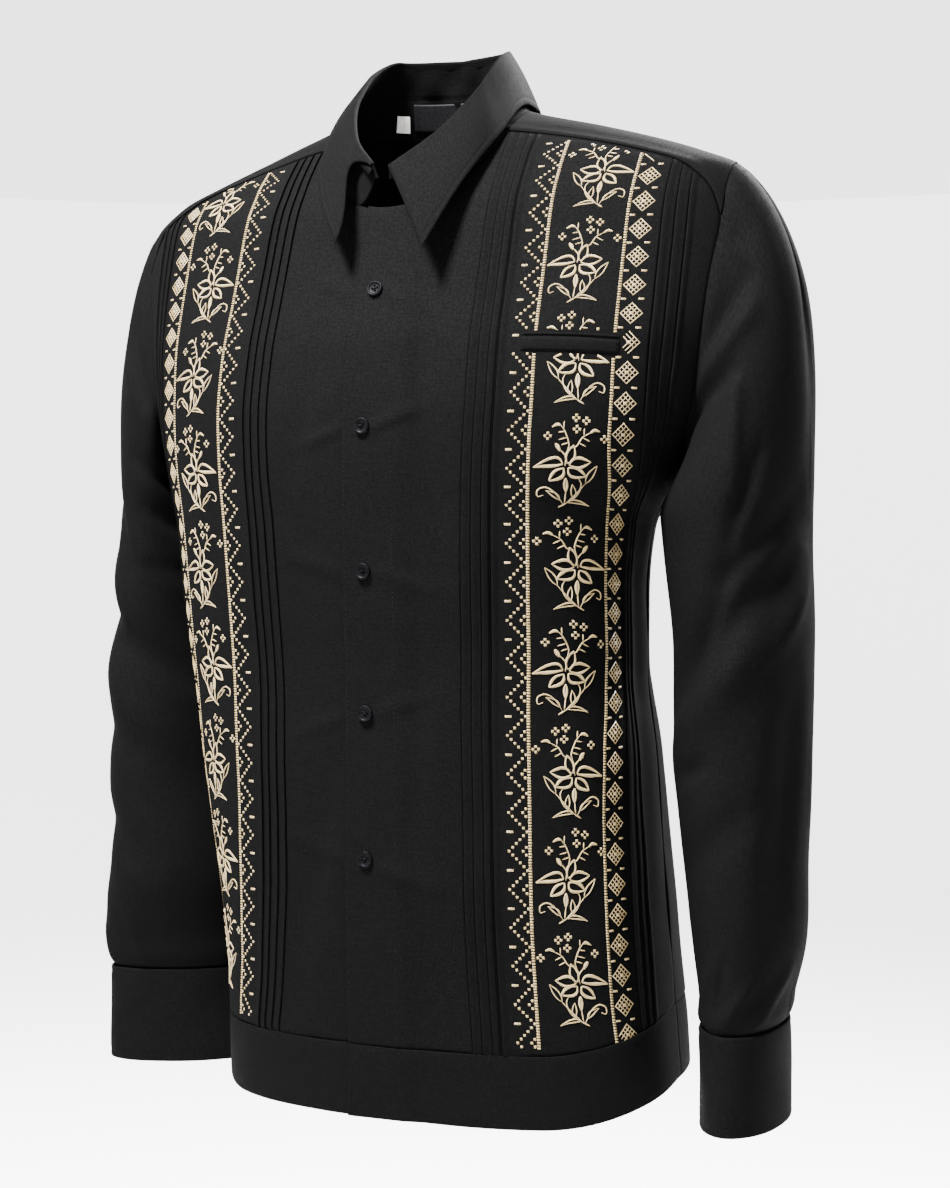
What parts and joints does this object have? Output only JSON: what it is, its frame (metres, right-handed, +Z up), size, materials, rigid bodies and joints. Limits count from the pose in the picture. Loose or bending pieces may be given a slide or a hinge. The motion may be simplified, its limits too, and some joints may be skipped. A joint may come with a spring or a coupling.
{
  "type": "guayabera shirt",
  "caption": "Black long-sleeved guayabera shirt, worn and hollow, with pintucks and two embroidered bands in pale gold thread down the fronts.",
  "frame": {"origin": "middle of the neck opening, level with the high shoulder points, where the wearer's shoulders hold the shirt", "axes": "+Z up along the wearer, -Y out of the front, +X to the wearer's left"},
  "size_m": [0.5537, 0.2968, 0.7682],
  "materials": {
    "cloth": "matt black plain-weave linen look",
    "embroidery": "satin pale gold thread",
    "button": "glossy black",
    "label": "black woven satin, bare",
    "tab": "white woven satin, bare"
  },
  "bodies": {
    "root": {"front_left": "cloth", "front_right": "cloth", "back": "cloth", "yoke": "cloth", "sleeve_left": "cloth", "sleeve_right": "cloth", "cuff_left": "cloth", "cuff_right": "cloth", "collar_stand": "cloth", "collar_fall": "cloth", "hem_band_left": "cloth", "hem_band_right": "cloth", "hem_band_back": "cloth", "pocket_welt": "cloth", "button_1": "button", "button_2": "button", "button_3": "button", "button_4": "button", "button_5": "button", "cuff_button_left": "button", "cuff_button_right": "button", "neck_label": "label", "size_tab": "tab"}
  },
  "joints": []
}
